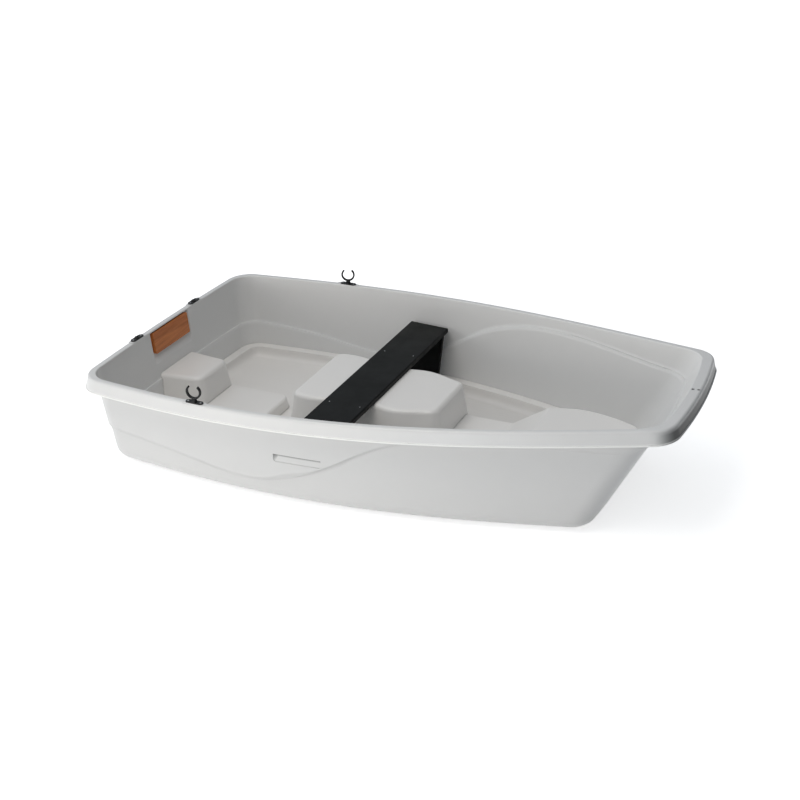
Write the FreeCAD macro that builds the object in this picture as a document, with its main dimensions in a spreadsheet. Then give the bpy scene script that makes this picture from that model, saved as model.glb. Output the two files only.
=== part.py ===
# Small moulded pram dinghy: a polyethylene hull with an S-shaped side step, a rolled gunwale, a
# liner with stern, middle and bow blocks, a black thwart on two end legs, a pair of turning
# oarlocks, sockets and a wood motor pad in a recess of the transom.
# Frame: +X forward to the bow, +Y to port, +Z up. Origin under the middle of the boat, on the
# plane that its runners stand on. Lengths in millimetres, angles in degrees.
import FreeCAD, Part
import Sketcher
import math
import os

V = FreeCAD.Vector
doc = FreeCAD.newDocument("pram_dinghy")

# Driving dimensions
SIZES = {
    # Gunwale: outer edge of the rim top, seen from above and from the side
    "overall_length": 2440,
    "half_beam_stern": 612,
    "half_beam_aft": 664,
    "half_beam_middle": 634.5,
    "half_beam_fore": 510.5,
    "half_beam_bow": 328,
    "rim_height_stern": 410,
    "rim_height_middle": 440,
    "rim_height_bow": 514,
    "rim_width": 28,
    "rim_bow_width": 46,
    "rim_bow_bulge": 28,
    "rim_stern_bulge": 16,
    "rim_skirt": 57,
    "rim_flare": 11,
    "rim_wall": 6,
    "rim_roll": 10,
    "rim_inner_roll": 5,
    "rim_lip_height": 6,
    "rim_lip_reach": 3,
    "rim_lip_roll": 2,
    "rim_stern_corner": 118,
    "rim_bow_corner": 118,
    # Hull below the gunwale
    "hull_wall": 6,
    "hull_bottom_wall": 8,
    "side_flare_stern": 44,
    "side_flare_bow": 60,
    "transom_rake": 39,
    "bow_rake": 256,
    "chine_radius": 68,
    "stern_corner_radius": 100,
    "bow_corner_radius": 112,
    "panel_step": 8,
    "panel_step_round": 3.6,
    # Runners under the bottom
    "runner_depth": 10,
    "runner_width": 34,
    "runner_spacing": 250,
    "runner_length": 1300,
    "runner_middle": -150,
    "runner_round": 6,
    # Line of the side step: heights above the ground
    "step_stern": 172,
    "step_dip": 106,
    "step_shoulder": 398,
    "step_bow": 430,
    # Blank recess for the boat's name on each side
    "name_place_aft": -297,
    "name_place_length": 202,
    "name_place_low": 210,
    "name_place_height": 35,
    "name_place_depth": 2,
    # Raised pads on the gunwale that carry the sockets
    "pad_length": 112,
    "pad_margin": 1,
    "pad_rise": 1.5,
    "oarlock_station": -620,
    "stern_socket_offset": 228,
    # Liner
    "liner_wall": 6,
    "liner_gap": 0.5,
    "liner_ledge_height": 72,
    "liner_ledge_width": 45,
    "liner_well_radius": 30,
    "stern_block_height": 205,
    "stern_block_length": 208,
    "stern_block_half": 112,
    "stern_block_spread": 22,
    "aft_spine_height": 78,
    "aft_spine_length": 521,
    "aft_spine_half": 122,
    "middle_block_height": 289,
    "middle_block_aft": -447,
    "middle_block_front": 192,
    "middle_block_half": 184,
    "middle_block_taper": 0.075,
    "middle_block_wave": 17,
    "middle_block_crest": 15,
    "middle_block_wave_length": 360,
    "fore_spine_height": 146,
    "fore_spine_half": 116,
    "bow_block_height": 264,
    "bow_block_length": 383,
    "bow_block_setback": 176,
    "bow_block_half": 148,
    "bow_block_swell_skew": 0.8,
    "bow_block_nose_taper": 0.3,
    "ramp_length": 168,
    "block_side_draft": 10,
    "block_end_draft": 6,
    "block_corner": 44,
    "block_roll": 20,
    "spine_roll": 12,
    # Thwart and its legs
    "thwart_width": 193,
    "thwart_thick": 20,
    "thwart_front": -75,
    "thwart_end_gap": 12,
    "thwart_roll": 6,
    "leg_thick": 20,
    "leg_wall": 7,
    "leg_side_inset": 8,
    "leg_head_inset": 26,
    "leg_foot_inset": 34,
    # Oarlock and its socket
    "shaft_diameter": 12.6,
    "shaft_fit": 0.06,
    "shaft_tip": 2,
    "socket_plate_length": 78,
    "socket_plate_width": 26,
    "socket_plate_thick": 4,
    "socket_hub_diameter": 25,
    "socket_hub_top_diameter": 21,
    "socket_hub_rise": 8,
    "socket_tube_diameter": 15.6,
    "socket_tube_length": 46,
    "socket_hole_fit": 0.15,
    "horn_inner_diameter": 48,
    "horn_rod_diameter": 8,
    "horn_band_width": 12,
    "horn_opening_angle": 76,
    "horn_roll": 3,
    "horn_collar_diameter": 20,
    "horn_collar_rise": 6,
    "horn_neck_rise": 5,
    "horn_neck_diameter": 16,
    "horn_turn_port": 20,
    "horn_turn_starboard": 8,
    "keeper_diameter": 20,
    "keeper_thick": 5,
    "running_gap": 0.3,
    # Motor pad and its recess in the transom
    "motor_pad_width": 275,
    "motor_pad_height": 98,
    "motor_pad_thick": 16,
    "motor_pad_top_drop": 12,
    "motor_pad_corner": 8,
    "recess_depth": 11,
    "recess_margin": 7,
    "recess_draft": 8,
    "recess_ledge": 40,
    "recess_corner": 18,
    # Painter holes in the gunwale at the bow
    "painter_hole_diameter": 7,
    "painter_hole_setback": 12,
    "painter_hole_spacing": 22,
}

sheet = doc.addObject("Spreadsheet::Sheet", "sizes")
cells = []


def cell(name, value):
    """Write a named number into the sheet."""
    cells.append(name)
    row = len(cells)
    sheet.set(f"A{row}", name)
    sheet.set(f"B{row}", str(value))
    sheet.setAlias(f"B{row}", name)


for size_name, size_value in SIZES.items():
    cell(size_name, size_value)
doc.recompute()


def size(name):
    """A dimension, read back from the sheet."""
    return float(getattr(sheet, name))


HALF_LENGTH = size("overall_length") / 2
BEAMS = [size("half_beam_" + place) for place in ("stern", "aft", "middle", "fore", "bow")]
RIM_HEIGHTS = [size("rim_height_" + place) for place in ("stern", "middle", "bow")]
WALL = size("hull_wall")
STEP = size("panel_step")
RIM_WALL = size("rim_wall")
END_BULGES = (size("rim_stern_bulge"), size("rim_bow_bulge"))
RIM_STERN = -HALF_LENGTH + size("rim_width") + size("rim_stern_bulge")
RIM_BOW = HALF_LENGTH - size("rim_bow_width") - size("rim_bow_bulge")
HULL_BOTTOM = size("runner_depth")
FLOOR_INSIDE = HULL_BOTTOM + size("hull_bottom_wall")
# Heights and lengths that only have to reach past the boat, how closely faces are compared, and
# the share of a form's height from which an edge counts as one of its corners
ABOVE_RIM = RIM_HEIGHTS[2] + size("rim_skirt")
FAR = 2 * HALF_LENGTH
PAST_END = 1.1
NEAR = 0.5
UPRIGHT = 0.9
SIDE_STATIONS = 11


def through(values, share):
    """The polynomial through evenly spaced values, at a share of the length from -1 to 1."""
    count = len(values)
    places = [2 * i / (count - 1) - 1 for i in range(count)]
    total = 0
    for i in range(count):
        term = values[i]
        for j in range(count):
            if j != i:
                term *= (share - places[j]) / (places[i] - places[j])
        total += term
    return total


def rim_half(x):
    """Half-breadth of the inner edge of the gunwale."""
    return through(BEAMS, x / HALF_LENGTH)


def rim_height(x):
    """Height of the gunwale's top: the sheer."""
    return through(RIM_HEIGHTS, x / HALF_LENGTH)


def plan_slope_factor(x):
    """Sideways shift that moves the side by one unit square to itself."""
    slope = (rim_half(x + 1) - rim_half(x - 1)) / 2
    return math.sqrt(1 + slope * slope)


def line_to(low, high, z):
    """The point at height z on the straight line through two points."""
    return low + (high - low) * ((z - low.z) / (high.z - low.z))


def closed_profile(points):
    """A flat face inside straight sides."""
    return Part.Face(Part.makePolygon(points + points[:1]))


def end_line(start, end, bulge):
    """The line across one end, straight or in an arc that bulges along X."""
    if not bulge:
        return Part.makeLine(start, end)
    return Part.Arc(start, V(start.x + bulge, 0, start.z), end).toShape()


def flared_form(low_line, high_line, z_low, z_high, corner_radii, bulges=(0, 0)):
    """A solid whose sides are straight between two lines from stern to bow, cut level.

    Each line is a function of a share from 0 at its stern end to 1 at its bow end, for the port
    side. The corners at the stern and at the bow are rounded, and both ends can bulge in an arc.
    """
    sections = []
    for z in (z_low, z_high):
        port_points = []
        for i in range(SIDE_STATIONS):
            share = i / (SIDE_STATIONS - 1)
            port_points.append(line_to(low_line(share), high_line(share), z))
        starboard_points = [V(p.x, -p.y, p.z) for p in reversed(port_points)]
        port = Part.BSplineCurve()
        port.interpolate(port_points)
        starboard = Part.BSplineCurve()
        starboard.interpolate(starboard_points)
        bow_end = end_line(port_points[-1], starboard_points[0], bulges[1])
        stern_end = end_line(starboard_points[-1], port_points[0], -bulges[0])
        sections.append(Part.Wire([port.toShape(), bow_end, starboard.toShape(), stern_end]))
    solid = Part.makeLoft(sections, True, True)
    middle = solid.CenterOfMass.x
    for end, radius in zip((-1, 1), corner_radii):
        corners = [e for e in solid.Edges if e.BoundBox.ZLength > UPRIGHT * (z_high - z_low)]
        corners = [e for e in corners if (e.CenterOfMass.x - middle) * end > 0]
        solid = solid.makeFillet(radius, corners)
    return solid


def hull_form(offset, bottom, chine_radius=None):
    """The hull body, offset square to its skin from the lower panel's outer face."""
    stern = RIM_STERN - WALL + STEP
    bow = RIM_BOW + WALL - STEP

    def sheer_line(share):
        x = stern - offset + share * (bow - stern + 2 * offset)
        half = rim_half(x) + WALL - STEP + offset * plan_slope_factor(x)
        return V(x, half, rim_height(x))

    def chine_line(share):
        run = bow - size("bow_rake") - stern - size("transom_rake") + 2 * offset
        x = stern + size("transom_rake") - offset + share * run
        flare = size("side_flare_stern") + share * (size("side_flare_bow") - size("side_flare_stern"))
        half = rim_half(x) + WALL - flare + offset * plan_slope_factor(x)
        return V(x, half, HULL_BOTTOM)

    corners = (size("stern_corner_radius") + offset, size("bow_corner_radius") + offset)
    form = flared_form(chine_line, sheer_line, bottom, ABOVE_RIM, corners, END_BULGES)
    chine = [e for e in form.Edges if e.BoundBox.ZMax < bottom + NEAR]
    return form.makeFillet(chine_radius or size("chine_radius") + offset, chine)


def rim_form(offset):
    """The outside of the gunwale's skirt, which spreads downwards."""
    spread = size("rim_flare") / size("rim_skirt")

    def at(drop):
        def line(share):
            reach = offset + drop * spread
            length = 2 * (HALF_LENGTH + reach) - sum(END_BULGES)
            x = share * length - HALF_LENGTH - reach + END_BULGES[0]
            inner = max(-HALF_LENGTH, min(HALF_LENGTH, x))
            half = rim_half(inner) + (size("rim_width") + reach) * plan_slope_factor(inner)
            return V(x, half, rim_height(inner) - drop)
        return line

    corners = (size("rim_stern_corner") + offset, size("rim_bow_corner") + offset)
    low = RIM_HEIGHTS[0] - 2 * size("rim_skirt")
    return flared_form(at(size("rim_skirt")), at(0), low, ABOVE_RIM, corners, END_BULGES)


def under_line(points):
    """Everything under a smooth line along the boat, as one wide solid."""
    line = Part.BSplineCurve()
    line.interpolate(points)
    start, end = points[0], points[-1]
    low_start, low_end = V(start.x, start.y, -FAR), V(end.x, end.y, -FAR)
    sides = [line.toShape(), Part.makeLine(end, low_end), Part.makeLine(low_end, low_start),
             Part.makeLine(low_start, start)]
    return Part.Face(Part.Wire(sides)).extrude(V(0, FAR, 0))


def under_sheer(drop):
    """Everything lower than the gunwale's top less a drop."""
    reach = PAST_END * HALF_LENGTH
    points = []
    for i in range(SIDE_STATIONS):
        x = reach * (2 * i / (SIDE_STATIONS - 1) - 1)
        points.append(V(x, -FAR / 2, rim_height(x) - drop))
    return under_line(points)


def under_step(rise):
    """Everything lower than the step that runs along both sides in an S."""
    stern, dip = size("step_stern"), size("step_dip")
    shoulder, bow = size("step_shoulder"), size("step_bow")
    climb = shoulder - dip
    line = [
        (-PAST_END, stern), (-0.82, stern), (-0.57, (stern + dip) / 2), (-0.35, dip),
        (-0.22, dip + 0.08 * climb), (-0.05, dip + 0.40 * climb), (0.12, dip + 0.80 * climb),
        (0.30, shoulder), (0.57, shoulder + 0.02 * climb), (PAST_END, bow),
    ]
    return under_line([V(share * HALF_LENGTH, -FAR / 2, height + rise) for share, height in line])


def inside_form(clearance):
    """The space inside the hull's wall, less a clearance all round."""
    offset = -WALL - clearance
    lower = hull_form(offset, FLOOR_INSIDE)
    upper = hull_form(STEP + offset, FLOOR_INSIDE)
    return lower.fuse(upper.cut(under_step(-offset)))


def oblong(length, width, height):
    """An upright plate with round ends, long along X, on the origin."""
    end = width / 2
    plate = Part.makeBox(length - width, width, height, V(-length / 2 + end, -end, 0))
    for side in (-1, 1):
        plate = plate.fuse(Part.makeCylinder(end, height, V(side * (length / 2 - end), 0, 0)))
    return plate.removeSplitter()


def softened_step(form):
    """The outside form with both edges of its step's underside rounded."""
    def faces_down(face):
        low_u, high_u, low_v, high_v = face.ParameterRange
        normal = face.normalAt((low_u + high_u) / 2, (low_v + high_v) / 2)
        return normal.z < 0 and face.BoundBox.ZMin > HULL_BOTTOM + size("chine_radius") / 2

    edges = []
    for face in form.Faces:
        if faces_down(face):
            edges += [e for e in face.Edges if e.Length > 2 * STEP]
    return form.makeFillet(size("panel_step_round"), edges)


# Hull: a single wall that steps out above the S line, open at the top under the gunwale
lower_outside = hull_form(0, HULL_BOTTOM)
upper_outside = hull_form(STEP, HULL_BOTTOM)
cavity = inside_form(0)
hull = lower_outside.fuse(upper_outside.cut(under_step(0)))
hull = softened_step(hull).common(under_sheer(RIM_WALL)).cut(cavity)

# Transom: the frame of its inner face at the middle of the motor pad, with the local X axis up
# along the transom and the local Z axis aft, square to it
TRANSOM_TOP = RIM_STERN - END_BULGES[0] - WALL + STEP
TRANSOM_SLOPE = size("transom_rake") / (RIM_HEIGHTS[0] - HULL_BOTTOM)
TRANSOM_TILT = math.degrees(math.atan(TRANSOM_SLOPE))
pad_half_height = size("motor_pad_height") / 2
pad_half_width = size("motor_pad_width") / 2
pad_middle = RIM_HEIGHTS[0] - size("motor_pad_top_drop") - pad_half_height
pad_x = TRANSOM_TOP + (RIM_HEIGHTS[0] - pad_middle) * TRANSOM_SLOPE - STEP + WALL
transom_turn = FreeCAD.Rotation(V(0, 1, 0), -90 - TRANSOM_TILT)
transom_frame = FreeCAD.Placement(V(pad_x, 0, pad_middle), transom_turn)


def recess_form(grow, z_start):
    """The motor pad's recess, with a sloped ledge below and open to the gunwale above."""
    depth = size("recess_depth")
    bottom = depth + grow
    margin = size("recess_margin") + grow
    top = pad_half_height + size("rim_skirt")
    sections = []
    for z, spread in ((z_start, 1 - z_start / depth), (bottom, -grow / depth)):
        half = pad_half_width + margin + spread * size("recess_draft")
        low = -pad_half_height - margin - spread * size("recess_ledge")
        sections.append(Part.makePolygon([
            V(low, -half, z), V(top, -half, z), V(top, half, z), V(low, half, z), V(low, -half, z)]))
    form = Part.makeLoft(sections, True, True)
    low_corners = [e for e in form.Edges if e.BoundBox.ZLength > UPRIGHT * (bottom - z_start)]
    low_corners = [e for e in low_corners if e.CenterOfMass.x < 0]
    form = form.makeFillet(size("recess_corner"), low_corners)
    form.Placement = transom_frame
    return form


boss = recess_form(WALL, 0).common(under_sheer(RIM_WALL)).cut(cavity)
hull = hull.fuse(boss).cut(recess_form(0, -WALL / 2).common(under_sheer(RIM_WALL)))

# Blank recess on each side for the name
name_skin = hull_form(STEP - size("name_place_depth"), HULL_BOTTOM)
name_box = Part.makeBox(size("name_place_length"), FAR, size("name_place_height"),
                        V(size("name_place_aft"), -FAR / 2, size("name_place_low")))
across = [e for e in name_box.Edges if e.BoundBox.YLength > 1]
name_box = name_box.makeFillet(size("name_place_height") / 4, across)
hull = hull.cut(name_box.cut(name_skin))

# Runners under the bottom, on which the boat stands ashore
for place in (-1, 0, 1):
    runner = oblong(size("runner_length"), size("runner_width"), HULL_BOTTOM + 1)
    foot = [e for e in runner.Edges if e.BoundBox.ZMax < NEAR]
    runner = runner.makeFillet(size("runner_round"), foot)
    runner.translate(V(size("runner_middle"), place * size("runner_spacing"), 0))
    hull = hull.fuse(runner)

# Gunwale: a cap over the hull's top edge, rolled at both edges and turned down into a skirt with
# a lip along its lower edge
lip_top = size("rim_skirt") - size("rim_lip_height")
rim = rim_form(0).common(under_sheer(0)).cut(under_sheer(lip_top))
centres = [(e, e.BoundBox.Center) for e in rim.Edges]
rim_top = [e for e, c in centres if abs(c.z - rim_height(c.x)) < size("rim_skirt") / 4]
rim = rim.makeFillet(size("rim_roll"), rim_top)
lip = rim_form(size("rim_lip_reach")).common(under_sheer(lip_top))
lip = lip.cut(under_sheer(size("rim_skirt")))
around = [e for e in lip.Edges if e.BoundBox.DiagonalLength > 2 * size("rim_lip_height")]
lip = lip.makeFillet(size("rim_lip_roll"), around)
rim = rim.fuse(lip).cut(rim_form(-RIM_WALL).common(under_sheer(RIM_WALL)))
gunwale = rim.cut(cavity)


def inner_top(edge):
    """Whether an edge runs along the inner edge of the gunwale's top."""
    middle = edge.valueAt((edge.FirstParameter + edge.LastParameter) / 2)
    on_top = abs(middle.z - rim_height(middle.x)) < NEAR
    return on_top and cavity.distToShape(Part.Vertex(middle))[0] < NEAR


inner_edges = [e for e in gunwale.Edges if inner_top(e)]
gunwale = gunwale.makeFillet(size("rim_inner_roll"), inner_edges)

# Raised pads on the gunwale, sunk half its wall, and the stations of the sockets
RIM_MIDDLE = size("rim_width") / 2
oarlock_x = size("oarlock_station")
oarlock_y = rim_half(oarlock_x) + RIM_MIDDLE
stern_socket_y = size("stern_socket_offset")
bulge_there = END_BULGES[0] * (stern_socket_y / size("half_beam_stern")) ** 2
stern_socket_x = -HALF_LENGTH + RIM_MIDDLE + bulge_there
stations = [(oarlock_x, oarlock_y, 0), (stern_socket_x, stern_socket_y, 90)]
tube_hole = size("socket_tube_diameter") / 2 + size("socket_hole_fit")


def rim_bore(x, y, radius):
    """A hole down through the gunwale's top."""
    reach = size("pad_rise") + 2 * RIM_WALL
    return Part.makeCylinder(radius, 2 * reach, V(x, y, rim_height(x) - reach))


for x, y, turn in stations:
    for side in (-1, 1):
        pad_width = size("rim_width") - 2 * size("pad_margin")
        raised = oblong(size("pad_length"), pad_width, RIM_WALL / 2 + size("pad_rise"))
        raised.rotate(V(0, 0, 0), V(0, 0, 1), turn)
        raised.translate(V(x, side * y, rim_height(x) - RIM_WALL / 2))
        gunwale = gunwale.fuse(raised).cut(rim_bore(x, side * y, tube_hole))
for place in (0, 1):
    painter_x = HALF_LENGTH - size("painter_hole_setback") - place * size("painter_hole_spacing")
    gunwale = gunwale.cut(rim_bore(painter_x, 0, size("painter_hole_diameter") / 2))

# Liner: a floor tray with a ledge round its edge, and hollow drafted blocks
LINER = size("liner_wall")
floor_top = FLOOR_INSIDE + LINER
ledge_top = size("liner_ledge_height")
side_lean = math.tan(math.radians(size("block_side_draft")))
end_lean = math.tan(math.radians(size("block_end_draft")))


def level_slab(z_low, z_high):
    """Everything between two heights."""
    return Part.makeBox(2 * FAR, FAR, z_high - z_low, V(-FAR, -FAR / 2, z_low))


def block(aft, front, half_at, top, inset, roof=None, roll=None):
    """A moulded block with drafted faces and rolled upper edges.

    half_at gives its half-breadth at the top, roof cuts it to a shape other than level, and the
    inset moves every face inwards.
    """
    def line(z):
        deep = top - z

        def at(share):
            x = aft + share * (front - aft)
            shift = (deep * end_lean - inset) * (2 * share - 1)
            return V(x + shift, half_at(x) + deep * side_lean - inset, z)
        return at

    z_low, z_high = FLOOR_INSIDE - inset / 2, top - inset
    corner = size("block_corner") - inset
    form = flared_form(line(z_low), line(z_high), z_low, z_high, (corner, corner))
    upper_from = z_high
    if roof:
        form = form.cut(roof(inset))
        upper_from = size("fore_spine_height") - inset
    upper = [e for e in form.Edges if e.BoundBox.ZMin > upper_from - NEAR]
    return form.makeFillet((roll or size("block_roll")) - inset, upper)


stern_front = RIM_STERN + size("stern_block_length")
spine_front = RIM_STERN + size("aft_spine_length")
bow_front = RIM_BOW - size("bow_block_setback")
bow_aft = bow_front - size("bow_block_length")
ramp_foot = bow_aft - size("ramp_length")
BEHIND = -HALF_LENGTH - size("stern_block_length")


def spine_half(x):
    """Half-breadth of the spine behind the stern block."""
    return size("aft_spine_half")


def stern_half(x):
    """Half-breadth of the stern block, which widens aft."""
    share = (stern_front - x) / size("stern_block_length")
    return size("stern_block_half") + share * size("stern_block_spread")


def middle_half(x):
    """Half-breadth of the middle block, which swells and narrows in waves."""
    turns = (x - size("middle_block_crest")) / size("middle_block_wave_length")
    wave = size("middle_block_wave") * math.cos(2 * math.pi * turns)
    return size("middle_block_half") - size("middle_block_taper") * x + wave


def fore_half(x):
    """Half-breadth of the spine and bow block: a swelling of sine shape ahead of the ramp."""
    spine = size("fore_spine_half")
    share = max(0, (x - bow_aft) / (bow_front - bow_aft))
    swell = math.sin(math.pi * share ** size("bow_block_swell_skew"))
    nose = size("bow_block_nose_taper") * share ** 3
    return spine + swell * (size("bow_block_half") - spine) - nose * spine


def above_ramp(inset):
    """Everything over the spine, the ramp and the bow block."""
    low, high = size("fore_spine_height") - inset, size("bow_block_height") - inset
    steepness = math.atan((high - low) / size("ramp_length"))
    shift = inset * math.tan(steepness / 2)
    points = [(-FAR, low), (ramp_foot + shift, low), (bow_aft + shift, high), (FAR, high),
              (FAR, FAR), (-FAR, FAR)]
    return closed_profile([V(x, -FAR / 2, z) for x, z in points]).extrude(V(0, FAR, 0))


def blocks(inset):
    """The five blocks of the liner, fused."""
    stern = block(BEHIND, stern_front, stern_half, size("stern_block_height"), inset)
    spine = block(BEHIND, spine_front, spine_half, size("aft_spine_height"), inset,
                  roll=size("spine_roll"))
    middle = block(size("middle_block_aft"), size("middle_block_front"), middle_half,
                   size("middle_block_height"), inset)
    fore = block(size("middle_block_front") - size("ramp_length"), bow_front, fore_half,
                 size("bow_block_height") + 2 * inset, inset, above_ramp, size("spine_roll"))
    return stern.fuse([spine, middle, fore])


tray_space = inside_form(size("liner_gap"))
well_offset = -WALL - size("liner_ledge_width")
well = hull_form(well_offset, floor_top, size("liner_well_radius"))
under = hull_form(well_offset + LINER, FLOOR_INSIDE, size("liner_well_radius") + LINER)
tray = tray_space.common(level_slab(ledge_top - LINER, ledge_top))
tray = tray.fuse(under.common(level_slab(FLOOR_INSIDE, ledge_top))).cut(well)
liner = tray.fuse(blocks(0).common(tray_space))
hollow_space = inside_form(size("liner_gap") + LINER).fuse(
    hull_form(well_offset + LINER, FLOOR_INSIDE - LINER).common(level_slab(0, floor_top)))
liner = liner.cut(blocks(LINER).common(hollow_space))

pieces = []


def freeform(name, shape):
    """Keep a freeform shape as a piece of the boat."""
    item = doc.addObject("Part::Feature", name)
    item.Shape = shape
    pieces.append(item)


freeform("hull_shell", hull)
freeform("gunwale", gunwale)
freeform("floor_liner", liner)


def inside_half(x, z):
    """Half-breadth between the hull's inner faces at a height, along the lower panel."""
    share = (x - TRANSOM_TOP) / (RIM_BOW - RIM_STERN)
    flare = size("side_flare_stern") + share * (size("side_flare_bow") - size("side_flare_stern"))
    drop = (rim_height(x) - z) / (rim_height(x) - HULL_BOTTOM)
    return rim_half(x) - STEP * (1 - drop) - flare * drop


# Places that follow from the hull's lines
thwart_back = size("thwart_front") - size("thwart_width")
thwart_middle = (size("thwart_front") + thwart_back) / 2
well_inset = size("liner_ledge_width") + size("liner_well_radius")
cell("thwart_front_half", inside_half(size("thwart_front"), size("middle_block_height")))
cell("thwart_back_half", inside_half(thwart_back, size("middle_block_height")))
cell("leg_foot_half", inside_half(thwart_middle, floor_top) - well_inset)
cell("leg_foot_height", floor_top)
cell("oarlock_offset", oarlock_y)
cell("oarlock_seat", rim_height(oarlock_x) + size("pad_rise"))
cell("stern_socket_station", stern_socket_x)
cell("stern_socket_seat", rim_height(stern_socket_x) + size("pad_rise"))
doc.recompute()


def bound(kind, name, **expressions):
    """Add an object whose properties follow the sheet. The keys x, y and z set its place."""
    item = doc.addObject(kind, name)
    for key, text in expressions.items():
        item.setExpression("Placement.Base." + key if key in ("x", "y", "z") else key, text)
    return item


def joined(name, shapes):
    """Several objects fused into one."""
    item = doc.addObject("Part::MultiFuse", name)
    item.Shapes = shapes
    return item


def less(name, base, tool):
    """One object cut out of another."""
    item = doc.addObject("Part::Cut", name)
    item.Base = base
    item.Tool = tool
    return item


def piece(item, name, x, y, z, turn=0):
    """Label a finished piece and bind its place."""
    item.Label = name
    item.Placement = FreeCAD.Placement(V(0, 0, 0), FreeCAD.Rotation(V(0, 0, 1), turn))
    for key, text in zip("xyz", (x, y, z)):
        item.setExpression("Placement.Base." + key, text)
    pieces.append(item)


def number(text):
    """The value of an expression on the sheet."""
    found = sheet.evalExpression(text.replace("sizes.", ""))
    return float(getattr(found, "Value", found))


def outline(body, plane, corners):
    """A closed sketch on one of the body's planes, each corner held by two bound dimensions."""
    sketch = body.newObject("Sketcher::SketchObject", body.Name + "_outline")
    origin = [f for f in body.Origin.OriginFeatures if f.Role == plane][0]
    sketch.AttachmentSupport = [(origin, "")]
    sketch.MapMode = "FlatFace"
    spots = [V(number(across), number(up), 0) for across, up in corners]
    count = len(spots)
    for i in range(count):
        sketch.addGeometry(Part.LineSegment(spots[i], spots[(i + 1) % count]))
    for i in range(count):
        sketch.addConstraint(Sketcher.Constraint("Coincident", i, 2, (i + 1) % count, 1))
    for i, corner in enumerate(corners):
        for kind, text in zip(("DistanceX", "DistanceY"), corner):
            place = sketch.addConstraint(Sketcher.Constraint(kind, -1, 1, i, 1, number(text)))
            sketch.setExpression(f"Constraints[{place}]", text)
    return sketch


def feature(body, kind, sketch, **expressions):
    """A PartDesign feature on a sketch, with bound sizes."""
    item = body.newObject("PartDesign::" + kind, body.Name + "_" + kind.lower())
    item.Profile = sketch
    for key, text in expressions.items():
        item.setExpression(key, text)
    return item


def rounded(body, base, radius, wanted):
    """Round the edges of a feature that a test picks."""
    doc.recompute()
    names = [f"Edge{i + 1}" for i, edge in enumerate(base.Shape.Edges) if wanted(edge)]
    item = body.newObject("PartDesign::Fillet", body.Name + "_rounding")
    item.Base = (base, names)
    item.setExpression("Radius", radius)


# Thwart: a board across the boat that lies on the middle block
thwart = doc.addObject("PartDesign::Body", "board")
front, back = "sizes.thwart_front", "(sizes.thwart_front - sizes.thwart_width)"
front_half = "(sizes.thwart_front_half - sizes.thwart_end_gap)"
back_half = "(sizes.thwart_back_half - sizes.thwart_end_gap)"
board = feature(thwart, "Pad", outline(thwart, "XY_Plane", [
    (back, "-" + back_half), (front, "-" + front_half), (front, front_half), (back, back_half)]),
    Length="sizes.thwart_thick")
rounded(thwart, board, "sizes.thwart_roll", lambda edge: edge.BoundBox.ZMin > NEAR)
piece(thwart, "thwart", "0", "0", "sizes.middle_block_height")

# Legs: channels open outboard, from the liner's floor up to the thwart
for side, label in ((1, "port"), (-1, "starboard")):
    leg = doc.addObject("PartDesign::Body", "leg_" + label)
    foot_z, head_z = "sizes.leg_foot_height", "sizes.middle_block_height"
    foot_y = "(sizes.leg_foot_half - sizes.leg_foot_inset)"
    head_y = "(sizes.thwart_front_half - sizes.thwart_end_gap - sizes.leg_head_inset)"

    def leg_outline(inboard, outboard, shrink):
        return [
            (f"{side} * ({foot_y} - {inboard})", f"{foot_z} + {shrink}"),
            (f"{side} * ({foot_y} - {outboard})", f"{foot_z} + {shrink}"),
            (f"{side} * ({head_y} - {outboard})", f"{head_z} - {shrink}"),
            (f"{side} * ({head_y} - {inboard})", f"{head_z} - {shrink}"),
        ]

    full_width = "sizes.thwart_width - 2 * sizes.leg_side_inset"
    panel = feature(leg, "Pad", outline(leg, "YZ_Plane", leg_outline("sizes.leg_thick", "0", "0")),
                    Length=full_width)
    panel.Midplane = True
    channel = outline(leg, "YZ_Plane", leg_outline(
        "(sizes.leg_thick - sizes.leg_wall)", "(-sizes.leg_wall)", "sizes.leg_wall"))
    hollow = feature(leg, "Pocket", channel, Length=full_width + " - 2 * sizes.leg_wall")
    hollow.Midplane = True
    piece(leg, "thwart_leg_" + label, "sizes.thwart_front - sizes.thwart_width / 2", "0", "0")


def socket(name, label, x, y, z, turn):
    """A flanged socket: oblong plate, hub and tube with a bore right through."""
    end = "sizes.socket_plate_width / 2"
    half_run = "(sizes.socket_plate_length - sizes.socket_plate_width) / 2"
    thick = "sizes.socket_plate_thick"
    shapes = [
        bound("Part::Box", name + "_plate", Length="2 * " + half_run, Width="sizes.socket_plate_width",
              Height=thick, x="-" + half_run, y="-" + end),
        bound("Part::Cylinder", name + "_fore_end", Radius=end, Height=thick, x=half_run),
        bound("Part::Cylinder", name + "_aft_end", Radius=end, Height=thick, x="-" + half_run),
        bound("Part::Cone", name + "_hub", Radius1="sizes.socket_hub_diameter / 2",
              Radius2="sizes.socket_hub_top_diameter / 2", Height="sizes.socket_hub_rise"),
        bound("Part::Cylinder", name + "_tube", Radius="sizes.socket_tube_diameter / 2",
              Height="sizes.socket_tube_length", z="-sizes.socket_tube_length"),
    ]
    bore = bound("Part::Cylinder", name + "_bore", Radius="sizes.shaft_diameter / 2 + sizes.shaft_fit",
                 Height="sizes.socket_tube_length + sizes.socket_hub_rise", z="-sizes.socket_tube_length")
    body = joined(name + "_body", shapes)
    body.Refine = True
    piece(less(name, body, bore), label, x, y, z, turn)


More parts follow.
